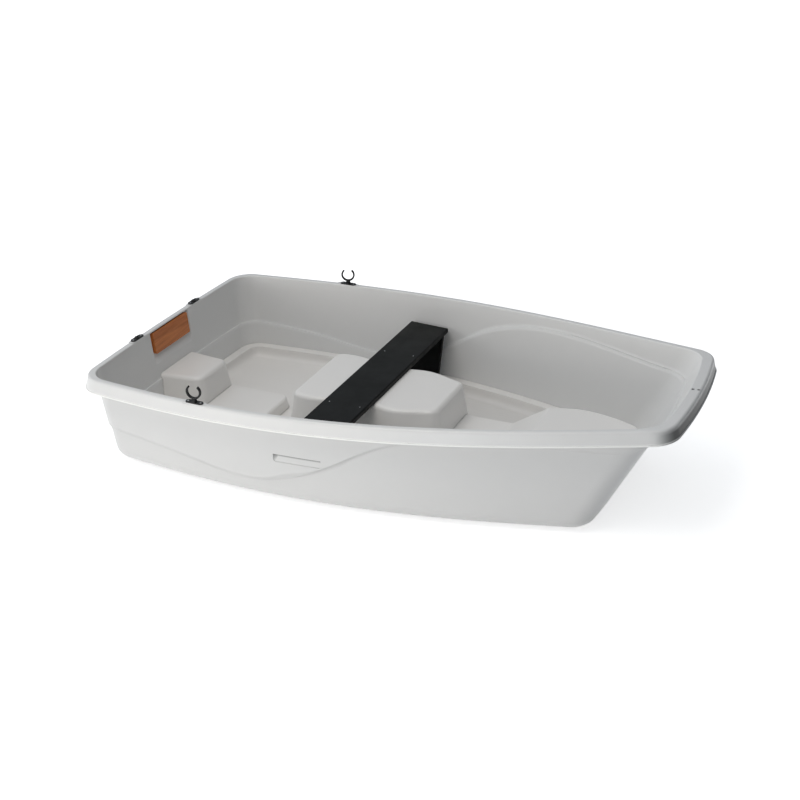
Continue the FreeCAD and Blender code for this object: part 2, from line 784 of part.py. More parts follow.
def oarlock(name, label, x, y, z, turn):
    """An open ring on a collared shaft that turns in its socket."""
    seat = "sizes.socket_hub_rise + sizes.running_gap"
    collar_top = seat + " + sizes.horn_collar_rise"
    tip = "sizes.socket_tube_length + sizes.running_gap + sizes.keeper_thick + sizes.shaft_tip"
    ring = doc.addObject("PartDesign::Body", name + "_ring")
    inner = "(sizes.horn_inner_diameter / 2)"
    outer = "(sizes.horn_inner_diameter / 2 + sizes.horn_rod_diameter)"
    half_band = "sizes.horn_band_width / 2"
    section = outline(ring, "YZ_Plane", [
        ("-" + half_band, "-" + outer), (half_band, "-" + outer),
        (half_band, "-" + inner), ("-" + half_band, "-" + inner)])
    turned = feature(ring, "Revolution", section, Angle="360 - sizes.horn_opening_angle")
    turned.ReferenceAxis = (section, ["H_Axis"])
    turned.Midplane = True
    rounded(ring, turned, "sizes.horn_roll", lambda edge: True)
    ring_middle = f"{collar_top} + sizes.horn_neck_rise + {outer} - sizes.horn_rod_diameter / 2"
    ring.setExpression("Placement.Base.z", ring_middle)
    shapes = [
        ring,
        bound("Part::Cylinder", name + "_shaft", Radius="sizes.shaft_diameter / 2",
              Height=tip + " + " + collar_top, z="-(" + tip + ")"),
        bound("Part::Cylinder", name + "_collar", Radius="sizes.horn_collar_diameter / 2",
              Height="sizes.horn_collar_rise", z=seat),
        bound("Part::Cone", name + "_neck", Radius1="sizes.horn_neck_diameter / 2",
              Radius2="sizes.horn_rod_diameter / 2", z=collar_top,
              Height="sizes.horn_neck_rise + sizes.horn_rod_diameter / 2"),
    ]
    piece(joined(name, shapes), label, x, y, z, turn)


def keeper(name, label, x, y, z):
    """The ring that holds an oarlock's shaft up against its socket's tube."""
    under_tube = "-(sizes.socket_tube_length + sizes.running_gap + sizes.keeper_thick)"
    ring = bound("Part::Cylinder", name + "_ring", Radius="sizes.keeper_diameter / 2",
                 Height="sizes.keeper_thick", z=under_tube)
    hole = bound("Part::Cylinder", name + "_hole", Radius="sizes.shaft_diameter / 2 + sizes.shaft_fit",
                 Height="sizes.keeper_thick", z=under_tube)
    piece(less(name, ring, hole), label, x, y, z)


for side, label in ((1, "port"), (-1, "starboard")):
    oarlock_place = ("sizes.oarlock_station", f"{side} * sizes.oarlock_offset", "sizes.oarlock_seat")
    socket("side_socket_" + label, "oarlock_socket_" + label, *oarlock_place, 0)
    oarlock("horn_" + label, "oarlock_" + label, *oarlock_place, size("horn_turn_" + label))
    keeper("keeper_" + label, "oarlock_keeper_" + label, *oarlock_place)
    socket("aft_socket_" + label, "stern_socket_" + label, "sizes.stern_socket_station",
           f"{side} * sizes.stern_socket_offset", "sizes.stern_socket_seat", 90)

# Motor pad: a wood board on the floor of its recess in the transom
pad = doc.addObject("PartDesign::Body", "motor_board")
half_height, half_width = "sizes.motor_pad_height / 2", "sizes.motor_pad_width / 2"
slab = feature(pad, "Pad", outline(pad, "XY_Plane", [
    ("-" + half_height, "-" + half_width), (half_height, "-" + half_width),
    (half_height, half_width), ("-" + half_height, half_width)]), Length="sizes.motor_pad_thick")
rounded(pad, slab, "sizes.motor_pad_corner", lambda edge: edge.BoundBox.ZLength > 1)
pad.Label = "motor_pad"
seat = V(0, 0, size("recess_depth") - size("motor_pad_thick"))
pad.Placement = transom_frame.multiply(FreeCAD.Placement(seat, FreeCAD.Rotation()))
pieces.append(pad)

doc.recompute()
for item in doc.Objects:
    if "Invalid" in item.State or "Error" in item.State:
        raise RuntimeError(item.Label + " failed to build")
for item in pieces:
    if item.Shape.isNull() or not item.Shape.isValid():
        raise RuntimeError(item.Label + " has a bad shape")
os.makedirs("parts", exist_ok=True)
for item in pieces:
    print(item.Label, len(item.Shape.Solids), "solid", round(item.Shape.Volume / 1000, 1), "cm3")
    item.Shape.exportStep(f"parts/{item.Label}.step")
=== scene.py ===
import math
from collections import namedtuple
import bmesh
import bpy
from mathutils import Matrix, Vector


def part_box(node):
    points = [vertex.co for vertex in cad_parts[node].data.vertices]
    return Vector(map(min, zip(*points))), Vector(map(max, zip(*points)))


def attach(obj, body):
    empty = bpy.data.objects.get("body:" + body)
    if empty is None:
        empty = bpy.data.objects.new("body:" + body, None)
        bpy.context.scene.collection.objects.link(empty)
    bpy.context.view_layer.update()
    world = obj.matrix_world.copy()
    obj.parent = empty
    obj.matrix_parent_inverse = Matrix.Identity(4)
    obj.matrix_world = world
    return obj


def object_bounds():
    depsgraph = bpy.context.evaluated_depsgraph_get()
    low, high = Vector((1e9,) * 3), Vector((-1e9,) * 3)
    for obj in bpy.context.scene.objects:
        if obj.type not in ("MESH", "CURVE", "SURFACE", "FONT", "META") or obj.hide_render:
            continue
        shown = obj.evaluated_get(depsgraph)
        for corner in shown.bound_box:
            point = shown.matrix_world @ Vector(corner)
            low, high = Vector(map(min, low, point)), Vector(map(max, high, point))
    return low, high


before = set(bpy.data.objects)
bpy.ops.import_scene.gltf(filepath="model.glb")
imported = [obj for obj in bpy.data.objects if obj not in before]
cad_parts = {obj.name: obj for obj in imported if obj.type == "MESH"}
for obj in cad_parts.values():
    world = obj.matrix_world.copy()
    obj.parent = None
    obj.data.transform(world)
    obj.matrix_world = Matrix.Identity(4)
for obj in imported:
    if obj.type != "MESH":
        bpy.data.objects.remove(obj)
CAD_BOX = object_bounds()

bl_info = {
    "name": "Pram dinghy dressing",
    "version": (1, 0, 0),
    "blender": (4, 5, 0),
    "location": "3D View > Sidebar > Dinghy",
    "description": "Gives a moulded pram dinghy its finishes, fastenings and studio",
    "category": "Object",
}


def linear(text):
    """An sRGB hex colour as linear red, green and blue."""
    shares = [int(text[i:i + 2], 16) / 255 for i in (0, 2, 4)]
    return tuple(c / 12.92 if c <= 0.04045 else ((c + 0.055) / 1.055) ** 2.4 for c in shares)


# Sheer of the hull: a parabola over the half length, whose middle is at the origin
HALF_LENGTH = 1.22
SHEER_MIDDLE, SHEER_SLOPE, SHEER_BEND = 0.440, 0.052, 0.022
# The lip of the gunwale's skirt begins this far under the sheer
LIP_DROP = 0.051
# Wall of the hull, and how far its side steps out
WALL, STEP_DEPTH = 0.006, 0.008
# Stations of the ends of the name recess, and heights of its edges
NAME_RECESS = ((-0.297, -0.095), (0.210, 0.245))
# Stations of the two painter holes in the bow rim
PAINTER_HOLES = (1.208, 1.186)

# Wear of a moulding: the height it is full under, the height it ends at, and the share of colour left
Wear = namedtuple("Wear", "full end left")
DRAGGED_BOTTOM = Wear(full=0.002, end=0.014, left=0.6)
TRODDEN_FLOOR = Wear(full=0.03, end=0.06, left=0.82)
# The floor's wear, with its painted shade, begins at the first station and is full at the second
FLOOR_WEAR_AND_SHADE_RUN = (-0.7, 0.35)
# Depth of the painted shade under the recess's upper edge, and how much deeper and how long it is aft
SHADE_DEPTH, SHADE_CORNER_DEPTH, SHADE_CORNER_LENGTH = 0.009, 0.035, 0.022
# Painted highlight along the lip of the gunwale's skirt: where it ends and where it is full, over the lip
LIP_PAINTED_HIGHLIGHT = (0.0045, 0.0005)
# Painted shade on the face of the bow's skirt: where it begins and where it is full, over the lip, and its
# aftmost station
BOW_PAINTED_SHADE, BOW_PAINTED_SHADE_AFT = (0.0515, 0.03), 1.1

# Nodes of the socket plates, and the box of the thwart
PLATES = ("oarlock_socket_port", "oarlock_socket_starboard", "stern_socket_port", "stern_socket_starboard")
THWART_LOW, THWART_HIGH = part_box("thwart")
# Plate screws: from the plate's middle, and under its hub's top, so that the heads sink in by 0.2 mm
PLATE_SCREW_REACH, PLATE_SCREW_DROP = 0.0285, 0.0042
# Thwart screws: from its forward edge, its aft edge and its middle, and how far the heads sink in
THWART_SCREW_AHEAD, THWART_SCREW_AFT, THWART_SCREW_SIDE = 0.025, 0.029, 0.268
THWART_SCREW_SINK = 0.0003
# The eyelets stay this far under the top of the boat
EYELET_MARGIN = 0.00002

# Lamps: name, place, width and height, power and colour
WARM, COOL = (1.0, 0.962, 0.91), (0.92, 0.96, 1.0)
LAMPS = (
    ("key_softbox", (-2.6, -5.6, 0.75), (4.0, 1.3), 99, WARM),
    ("low_softbox", (0.6, -5.6, 0.5), (1.8, 0.4), 28, COOL),
    ("top_softbox", (-1.2, -0.4, 4.8), (3.6, 3.0), 26, WARM),
    ("side_softbox", (-0.4, -1.8, 3.6), (2.2, 1.2), 37, WARM),
)
LAMP_TARGET = (0.0, 0.0, 0.3)
# Light of the room: its colour, its strength from the horizon to the zenith, and what a wall aft adds
ROOM_COLOUR, CEILING, STERN_WALL = (0.88, 0.935, 1.0, 1.0), (0.02, 0.41), 0.69
# Floor: half its width, the ring over which the camera sees it rise to white, and its lift inside that
FLOOR_REACH, FLOOR_FADE, FLOOR_LIFT = 40.0, (1.5, 3.2), 0.66
# Width of the camera's sensor, in millimetres
SENSOR_WIDTH = 36.0


def sheer(x):
    """Height of the rim's top at a station."""
    share = x / HALF_LENGTH
    return SHEER_MIDDLE + SHEER_SLOPE * share + SHEER_BEND * share ** 2


class MouldingSettings(bpy.types.PropertyGroup):
    """Colours and sizes of the hull, the gunwale and the liner"""
    hull: bpy.props.FloatVectorProperty(
        name="Hull", description="Colour of the hull and its gunwale", subtype="COLOR",
        size=3, min=0, max=1, default=linear("DBDBDA"))
    liner: bpy.props.FloatVectorProperty(
        name="Liner", description="Colour of the floor and its blocks", subtype="COLOR",
        size=3, min=0, max=1, default=linear("E6E4E1"))
    # Painted highlight: the pale colour laid along the lip of the gunwale's skirt
    painted_lip_highlight: bpy.props.FloatVectorProperty(
        name="Lip highlight", description="Colour of the painted highlight along the lip of the gunwale's skirt", subtype="COLOR",
        size=3, min=0, max=1, default=linear("F6F6F4"))
    # Painted shade: the dark colour laid on the face of the bow's skirt
    patch: bpy.props.FloatVectorProperty(
        name="Bow shade", description="Colour of the painted shade on the face of the bow's skirt", subtype="COLOR",
        size=3, min=0, max=1, default=linear("242520"))
    wave: bpy.props.FloatProperty(
        name="Wave", description="Length of the long waves of the moulding", unit="LENGTH",
        min=0.01, default=0.14)
    peel: bpy.props.FloatProperty(
        name="Peel", description="Size of the dimples of the skin", unit="LENGTH",
        min=0.0005, default=0.008)
    cloud: bpy.props.FloatProperty(
        name="Cloud", description="Size of the faint clouds in the colour", unit="LENGTH",
        min=0.005, default=0.06)
    softness: bpy.props.FloatProperty(
        name="Softness", description="Radius that the mould leaves on every edge", unit="LENGTH",
        min=0.0, default=0.0015)


class ThwartSettings(bpy.types.PropertyGroup):
    """Colour and grain of the thwart"""
    colour: bpy.props.FloatVectorProperty(
        name="Colour", description="Colour of the thwart and its legs", subtype="COLOR",
        size=3, min=0, max=1, default=linear("0B0D0C"))
    grain: bpy.props.FloatProperty(
        name="Grain", description="Size of the pebbles on the seat", unit="LENGTH",
        min=0.0005, default=0.0035)


class FittingSettings(bpy.types.PropertyGroup):
    """Colours of the fittings"""
    nylon: bpy.props.FloatVectorProperty(
        name="Nylon", description="Colour of the sockets and oarlocks", subtype="COLOR",
        size=3, min=0, max=1, default=linear("0C0C0D"))
    steel: bpy.props.FloatVectorProperty(
        name="Steel", description="Colour of the keepers and screws", subtype="COLOR",
        size=3, min=0, max=1, default=linear("BFC0C0"))


class PadSettings(bpy.types.PropertyGroup):
    """Colours and grain of the motor pad"""
    pale: bpy.props.FloatVectorProperty(
        name="Early wood", description="Colour of the wood between its lines", subtype="COLOR",
        size=3, min=0, max=1, default=linear("D47E3B"))
    dark: bpy.props.FloatVectorProperty(
        name="Late wood", description="Colour of the wood's dark lines", subtype="COLOR",
        size=3, min=0, max=1, default=linear("AD5D24"))
    line: bpy.props.FloatProperty(
        name="Line spacing", description="Spacing of the wood's lines", unit="LENGTH",
        min=0.001, default=0.011)


class ScrewSettings(bpy.types.PropertyGroup):
    """Sizes of the screws"""
    plate_head: bpy.props.FloatProperty(
        name="Plate screws", description="Head diameter of the screws in the socket plates",
        unit="LENGTH", min=0.002, default=0.0076)
    thwart_head: bpy.props.FloatProperty(
        name="Thwart screws", description="Head diameter of the screws in the thwart",
        unit="LENGTH", min=0.002, default=0.0055)


class EyeletSettings(bpy.types.PropertyGroup):
    """Sizes of the painter eyelets"""
    bore: bpy.props.FloatProperty(
        name="Bore", description="Inner diameter of the painter eyelets", unit="LENGTH",
        min=0.007, default=0.0072)
    diameter: bpy.props.FloatProperty(
        name="Diameter", description="Outer diameter of the painter eyelets", unit="LENGTH",
        min=0.008, default=0.0116)
    rise: bpy.props.FloatProperty(
        name="Rise", description="Height of the eyelets over the rim", unit="LENGTH",
        min=0.0, default=0.0006)


class StageSettings(bpy.types.PropertyGroup):
    """The camera and the floor"""
    azimuth: bpy.props.FloatProperty(
        name="Azimuth", description="Camera's turn round the boat", subtype="ANGLE",
        default=math.radians(25.0))
    elevation: bpy.props.FloatProperty(
        name="Elevation", description="Camera's height above the horizon", subtype="ANGLE",
        default=math.radians(26.792))
    roll: bpy.props.FloatProperty(
        name="Roll", description="Camera's turn about its own line of sight", subtype="ANGLE",
        default=math.radians(-1.111))
    distance: bpy.props.FloatProperty(
        name="Distance", description="From the camera to its target", unit="LENGTH",
        default=5.5361)
    target: bpy.props.FloatVectorProperty(
        name="Target", description="Point in the middle of the picture", subtype="TRANSLATION",
        size=3, default=(-0.04374, 0.0, 0.2272))
    lens: bpy.props.FloatProperty(
        name="Lens", description="Focal length in millimetres on a 36 mm sensor",
        default=58.524)
    floor: bpy.props.FloatVectorProperty(
        name="Floor", description="Colour of the studio floor", subtype="COLOR",
        size=3, min=0, max=1, default=linear("F2F2F2"))


def node(tree, kind, inputs=None, **settings):
    """Add a node, set its properties, and fill or link its inputs."""
    made = tree.nodes.new(kind)
    for key, value in settings.items():
        setattr(made, key, value)
    for key, value in (inputs or {}).items():
        if isinstance(value, bpy.types.NodeSocket):
            tree.links.new(value, made.inputs[key])
        else:
            made.inputs[key].default_value = value
    return made


def surface(name, **sockets):
    """A material with one shader, its plain values set, and its tree."""
    made = bpy.data.materials.new(name)
    made.use_nodes = True
    tree = made.node_tree
    tree.nodes.clear()
    shader = node(tree, "ShaderNodeBsdfPrincipled", {k.replace("_", " "): v for k, v in sockets.items()})
    node(tree, "ShaderNodeOutputMaterial", {"Surface": shader.outputs[0]})
    return made, tree, shader


def rgba(colour, share=1.0):
    """A colour with alpha, brought to a share of itself."""
    return tuple(min(1.0, c * share) for c in colour) + (1.0,)


def dress(material, *names):
    """Give a finish to CAD nodes."""
    for name in names:
        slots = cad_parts[name].material_slots
        if not len(slots):
            raise RuntimeError(name + " has no material slot")
        for slot in slots:
            slot.material = material


def step_line():
    """Heights of the hull's side step at even stations from stern to bow, read from its underside."""
    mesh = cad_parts["hull_shell"].data
    # The step's underside leans down at least this far, and lies higher than this
    leaning, lowest = -0.6, 0.09
    stations = 24
    found = [[] for i in range(stations)]
    for face in mesh.polygons:
        if face.normal.z < leaning and face.center.z > lowest:
            share = (face.center.x - CAD_BOX[0][0]) / (CAD_BOX[1][0] - CAD_BOX[0][0])
            found[int(share * stations)].append(face.center.z)
    line = [((i + 0.5) / stations, sum(zs) / len(zs)) for i, zs in enumerate(found) if zs]
    if len(line) < stations / 2:
        raise RuntimeError("the side step isn't found on the hull")
    return line


def faces_outward(tree, place):
    """One where a surface faces away from the middle of the boat, and zero where it faces it."""
    facing = node(tree, "ShaderNodeTexCoord").outputs["Normal"]
    level = node(tree, "ShaderNodeVectorMath", {
        0: place, 1: (1.0, 1.0, 0.0)}, operation="MULTIPLY").outputs[0]
    facing = node(tree, "ShaderNodeVectorMath", {
        0: facing, 1: level}, operation="DOT_PRODUCT").outputs["Value"]
    return node(tree, "ShaderNodeMath", {0: facing, 1: 0.0}, operation="GREATER_THAN").outputs[0]


def softened_step(tree, place, normal):
    """A bump that rounds the side step further, into the soft fold of a moulding."""
    line = step_line()
    parts = node(tree, "ShaderNodeSeparateXYZ", {0: place}).outputs
    along = node(tree, "ShaderNodeMapRange", {
        "Value": parts["X"], "From Min": CAD_BOX[0][0], "From Max": CAD_BOX[1][0]}).outputs[0]
    curve = node(tree, "ShaderNodeFloatCurve", {"Value": along})
    points = curve.mapping.curves[0].points
    points[0].location = (0.0, line[0][1])
    points[1].location = (1.0, line[-1][1])
    for share, height in line:
        points.new(share, height)
    curve.mapping.update()
    # The inner skin's step lies a wall's thickness higher and turns the other way
    outside = faces_outward(tree, place)
    lift = node(tree, "ShaderNodeMapRange", {"Value": outside, "To Min": WALL, "To Max": 0.0}).outputs[0]
    above = node(tree, "ShaderNodeMath", {
        0: parts["Z"], 1: curve.outputs[0]}, operation="SUBTRACT").outputs[0]
    above = node(tree, "ShaderNodeMath", {0: above, 1: lift}, operation="SUBTRACT").outputs[0]
    # The fold reaches 16 mm under the step and 12 mm over it
    fold = node(tree, "ShaderNodeMapRange", {
        "Value": above, "From Min": -0.016, "From Max": 0.012},
        interpolation_type="SMOOTHSTEP").outputs[0]
    turn = node(tree, "ShaderNodeMapRange", {"Value": outside, "To Min": -1.0, "To Max": 1.0}).outputs[0]
    fold = node(tree, "ShaderNodeMath", {0: fold, 1: turn}, operation="MULTIPLY").outputs[0]
    return node(tree, "ShaderNodeBump", {
        "Height": fold, "Strength": 1.0, "Distance": STEP_DEPTH, "Normal": normal}).outputs[0]


def recess_painted_shade(tree, place):
    """Shares of painted shade under the upper edge of the name recess, and one all over the recess."""
    parts = node(tree, "ShaderNodeSeparateXYZ", {0: place}).outputs
    station, height = parts["X"], parts["Z"]
    (aft, ahead), (low, high) = NAME_RECESS
    corner = node(tree, "ShaderNodeMapRange", {
        "Value": station, "From Min": aft, "From Max": aft + SHADE_CORNER_LENGTH,
        "To Min": 1.0, "To Max": 0.0}).outputs[0]
    reach = node(tree, "ShaderNodeMath", {
        0: corner, 1: SHADE_CORNER_DEPTH, 2: SHADE_DEPTH}, operation="MULTIPLY_ADD").outputs[0]
    drop = node(tree, "ShaderNodeMath", {0: high, 1: height}, operation="SUBTRACT").outputs[0]
    share = node(tree, "ShaderNodeMath", {0: drop, 1: reach}, operation="DIVIDE").outputs[0]
    share = node(tree, "ShaderNodeMath", {0: 1.0, 1: share}, operation="SUBTRACT").outputs[0]
    # Only between the ends and the edges of the recess, on the outer skin
    inside = faces_outward(tree, place)
    for value, bound, operation in (
            (station, aft, "GREATER_THAN"), (station, ahead, "LESS_THAN"),
            (height, low, "GREATER_THAN"), (height, high, "LESS_THAN")):
        passed = node(tree, "ShaderNodeMath", {0: value, 1: bound}, operation=operation).outputs[0]
        inside = node(tree, "ShaderNodeMath", {0: inside, 1: passed}, operation="MULTIPLY").outputs[0]
    share = node(tree, "ShaderNodeMath", {
        0: share, 1: inside}, operation="MULTIPLY", use_clamp=True).outputs[0]
    return share, inside


def over_lip(tree, place):
    """Height over the line where the lip of the gunwale's skirt begins, which follows the sheer."""
    parts = node(tree, "ShaderNodeSeparateXYZ", {0: place}).outputs
    share = node(tree, "ShaderNodeMath", {0: parts["X"], 1: HALF_LENGTH}, operation="DIVIDE").outputs[0]
    rise = node(tree, "ShaderNodeMath", {
        0: share, 1: SHEER_BEND, 2: SHEER_SLOPE}, operation="MULTIPLY_ADD").outputs[0]
    line = node(tree, "ShaderNodeMath", {
        0: share, 1: rise, 2: SHEER_MIDDLE - LIP_DROP}, operation="MULTIPLY_ADD").outputs[0]
    return node(tree, "ShaderNodeMath", {0: parts["Z"], 1: line}, operation="SUBTRACT").outputs[0]


def bow_painted_shade(tree, place):
    """Shares of the painted shade on the face of the bow's skirt, full along its lower edge."""
    begin, full = BOW_PAINTED_SHADE
    low = node(tree, "ShaderNodeMapRange", {
        "Value": over_lip(tree, place), "From Min": begin, "From Max": full}).outputs[0]
    station = node(tree, "ShaderNodeSeparateXYZ", {0: place}).outputs["X"]
    ahead = node(tree, "ShaderNodeMath", {0: station, 1: BOW_PAINTED_SHADE_AFT}, operation="GREATER_THAN").outputs[0]
    # It fades round the corners, where the skirt turns away from dead ahead
    facing = node(tree, "ShaderNodeTexCoord").outputs["Normal"]
    facing = node(tree, "ShaderNodeSeparateXYZ", {0: facing}).outputs["X"]
    facing = node(tree, "ShaderNodeMapRange", {
        "Value": facing, "From Min": 0.35, "From Max": 1.05}, interpolation_type="SMOOTHSTEP").outputs[0]
    share = node(tree, "ShaderNodeMath", {0: low, 1: ahead}, operation="MULTIPLY").outputs[0]
    return node(tree, "ShaderNodeMath", {0: share, 1: facing}, operation="MULTIPLY").outputs[0]


def gunwale_with_painted_light(tree, place, tint, settings, shader):
    """The gunwale's colour with a painted highlight along the lip of its skirt and painted shade on the face
    of its bow's skirt.
    """
    end, full = LIP_PAINTED_HIGHLIGHT
    # Painted highlight: paler colour along the top of the skirt's lip
    lip_highlight_share = node(tree, "ShaderNodeMapRange", {
        "Value": over_lip(tree, place), "From Min": end, "From Max": full}).outputs[0]
    tint = node(tree, "ShaderNodeMix", {
        0: lip_highlight_share, 6: tint, 7: rgba(settings.painted_lip_highlight)}, data_type="RGBA").outputs[2]
    patch = bow_painted_shade(tree, place)
    # Under the painted shade the skin has a fifth of its shine
    shine = node(tree, "ShaderNodeMapRange", {"Value": patch, "To Min": 0.5, "To Max": 0.1}).outputs[0]
    tree.links.new(shine, shader.inputs["Specular IOR Level"])
    # Painted shade: the face of the bow's skirt darkened towards its lower edge
    return node(tree, "ShaderNodeMix", {
        0: patch, 6: tint, 7: rgba(settings.patch)}, data_type="RGBA").outputs[2]


def worn_skin(tree, place, wear, painted_shade_ahead):
    """Shares of wear, in streaks 170 mm long and 8 mm wide, full under one height and none over another,
    with painted shade that deepens it towards the bow where asked.
    """
    height = node(tree, "ShaderNodeSeparateXYZ", {0: place}).outputs["Z"]
    low = node(tree, "ShaderNodeMapRange", {
        "Value": height, "From Min": wear.end, "From Max": wear.full}).outputs[0]
    streaks = node(tree, "ShaderNodeMapping", {"Vector": place, "Scale": (6.0, 120.0, 120.0)}).outputs[0]
    rubbed = node(tree, "ShaderNodeTexNoise", {"Vector": streaks, "Scale": 1.0, "Detail": 3.0}).outputs[0]
    rubbed = node(tree, "ShaderNodeMapRange", {
        "Value": rubbed, "From Min": 0.3, "From Max": 0.8, "To Min": 0.8}).outputs[0]
    worn = node(tree, "ShaderNodeMath", {0: low, 1: rubbed}, operation="MULTIPLY").outputs[0]
    if not painted_shade_ahead:
        return worn
    # Painted shade: the wear darkens the floor more towards the bow
    station = node(tree, "ShaderNodeSeparateXYZ", {0: place}).outputs["X"]
    begin, full = FLOOR_WEAR_AND_SHADE_RUN
    ahead = node(tree, "ShaderNodeMapRange", {
        "Value": station, "From Min": begin, "From Max": full, "To Min": 0.15},
        interpolation_type="SMOOTHSTEP").outputs[0]
    return node(tree, "ShaderNodeMath", {0: worn, 1: ahead}, operation="MULTIPLY").outputs[0]


def painted_corner_shade(tree, place, tint, colour, stepped):
    """The colour with painted shade in inner corners, up to 12 mm out of them, and painted shade under the
    recess's upper edge.
    """
    # Painted shade: ambient occlusion darkens the colour within 12 mm of inner corners
    unshaded = node(tree, "ShaderNodeAmbientOcclusion", {"Distance": 0.012}, samples=8).outputs["AO"]
    unshaded = node(tree, "ShaderNodeMapRange", {
        "Value": unshaded, "From Min": 0.35, "From Max": 0.85}).outputs[0]
    if stepped:
        # The painted corner shade is left off the inside of the hull and off the recess, which has its own
        # painted shade
        inner = node(tree, "ShaderNodeMath", {
            0: 1.0, 1: faces_outward(tree, place)}, operation="SUBTRACT").outputs[0]
        unshaded = node(tree, "ShaderNodeMath", {0: unshaded, 1: inner}, operation="MAXIMUM").outputs[0]
        recess_shade, recess = recess_painted_shade(tree, place)
        unshaded = node(tree, "ShaderNodeMath", {0: unshaded, 1: recess}, operation="MAXIMUM").outputs[0]
        # Painted shade: darker under the recess's upper edge, deepest at its aft end
        tint = node(tree, "ShaderNodeMix", {
            0: recess_shade, 6: tint, 7: rgba(colour, 0.2)}, data_type="RGBA").outputs[2]
    return node(tree, "ShaderNodeMix", {
        0: unshaded, 6: rgba(colour, 0.45), 7: tint}, data_type="RGBA").outputs[2]


def wavy_skin(tree, place, settings):
    """Normals of a thin skin that cooled in its mould: soft edges, long waves and coarse dimples."""
    wave = node(tree, "ShaderNodeTexNoise", {
        "Vector": place, "Scale": 1 / settings.wave, "Detail": 1.0, "Roughness": 0.4}).outputs[0]
    peel = node(tree, "ShaderNodeTexNoise", {
        "Vector": place, "Scale": 1 / settings.peel, "Detail": 2.0, "Roughness": 0.5}).outputs[0]
    soft = node(tree, "ShaderNodeBevel", {"Radius": settings.softness}, samples=6).outputs[0]
    waved = node(tree, "ShaderNodeBump", {
        "Height": wave, "Strength": 0.35, "Distance": 0.004, "Normal": soft}).outputs[0]
    return node(tree, "ShaderNodeBump", {
        "Height": peel, "Strength": 0.1, "Distance": 0.0003, "Normal": waved}).outputs[0]


def moulded_polyethylene(
        name, colour, settings, wear, stepped=False, painted_lip_highlight=False, worn_and_painted_shade_ahead=False):
    """Rotationally moulded polyethylene: satin, slightly wavy and dimpled, with soft edges."""
    made, tree, shader = surface(name, IOR=1.51)
    place = node(tree, "ShaderNodeTexCoord").outputs["Object"]
    # Powder that melted unevenly leaves faint clouds in the colour
    cloud = node(tree, "ShaderNodeTexNoise", {
        "Vector": place, "Scale": 1 / settings.cloud, "Detail": 4.0, "Roughness": 0.6}).outputs[0]
    tint = node(tree, "ShaderNodeMix", {
        0: cloud, 6: rgba(colour, 0.99), 7: rgba(colour, 1.01)}, data_type="RGBA").outputs[2]
    worn = worn_skin(tree, place, wear, worn_and_painted_shade_ahead)
    # Wear darkens the colour, and on the liner painted shade deepens it towards the bow
    tint = node(tree, "ShaderNodeMix", {
        0: worn, 6: tint, 7: rgba(colour, wear.left)}, data_type="RGBA").outputs[2]
    # Painted highlight along the lip of the gunwale's skirt, and painted shade on the bow's skirt
    if painted_lip_highlight:
        tint = gunwale_with_painted_light(tree, place, tint, settings, shader)
    tint = painted_corner_shade(tree, place, tint, colour, stepped)
    tree.links.new(tint, shader.inputs["Base Color"])
    # Satin, and duller where it is worn
    rough = node(tree, "ShaderNodeMath", {0: worn, 1: 0.2, 2: 0.29}, operation="MULTIPLY_ADD").outputs[0]
    tree.links.new(rough, shader.inputs["Roughness"])
    normal = wavy_skin(tree, place, settings)
    if stepped:
        normal = softened_step(tree, place, normal)
    tree.links.new(normal, shader.inputs["Normal"])
    return made


class BOAT_OT_finish_mouldings(bpy.types.Operator):
    """Finish the hull, the gunwale and the liner"""
    bl_idname = "boat.finish_mouldings"
    bl_label = "Finish mouldings"

    def execute(self, context):
        settings = context.scene.boat_mouldings
        hull = moulded_polyethylene(
            "white_rotomoulded_polyethylene", settings.hull, settings, DRAGGED_BOTTOM, stepped=True)
        liner = moulded_polyethylene(
            "pale_rotomoulded_polyethylene", settings.liner, settings, TRODDEN_FLOOR, worn_and_painted_shade_ahead=True)
        rim = moulded_polyethylene(
            "white_polyethylene_with_painted_light", settings.hull, settings, DRAGGED_BOTTOM, painted_lip_highlight=True)
        dress(hull, "hull_shell")
        dress(rim, "gunwale")
        dress(liner, "floor_liner")
        return {"FINISHED"}


class BOAT_OT_finish_thwart(bpy.types.Operator):
    """Finish the thwart and its legs"""
    bl_idname = "boat.finish_thwart"
    bl_label = "Finish thwart"

    def execute(self, context):
        settings = context.scene.boat_thwart
        # Black polyethylene sheet with a pebbled skin: a dull grey sheen on top, near black in shade
        made, tree, shader = surface("black_pebbled_polyethylene", IOR=1.51, Specular_IOR_Level=0.15)
        place = node(tree, "ShaderNodeTexCoord").outputs["Object"]
        pebble = node(tree, "ShaderNodeTexVoronoi", {
            "Vector": place, "Scale": 1 / settings.grain, "Smoothness": 0.6}, feature="SMOOTH_F1").outputs[0]
        # Wear comes in patches 110 mm across
        worn = node(tree, "ShaderNodeTexNoise", {
            "Vector": place, "Scale": 9.0, "Detail": 5.0, "Roughness": 0.6}).outputs[0]
        tint = node(tree, "ShaderNodeMix", {
            0: worn, 6: rgba(settings.colour, 0.8), 7: rgba(settings.colour, 1.35)},
            data_type="RGBA").outputs[2]
        tree.links.new(tint, shader.inputs["Base Color"])
        rough = node(tree, "ShaderNodeMapRange", {
            "Value": worn, "From Min": 0.3, "From Max": 0.7, "To Min": 0.42, "To Max": 0.56}).outputs[0]
        tree.links.new(rough, shader.inputs["Roughness"])
        soft = node(tree, "ShaderNodeBevel", {"Radius": 0.002}, samples=4).outputs[0]
        bump = node(tree, "ShaderNodeBump", {
            "Height": pebble, "Strength": 0.3, "Distance": 0.0006, "Normal": soft}).outputs[0]
        tree.links.new(bump, shader.inputs["Normal"])
        dress(made, "thwart", "thwart_leg_port", "thwart_leg_starboard")
        return {"FINISHED"}


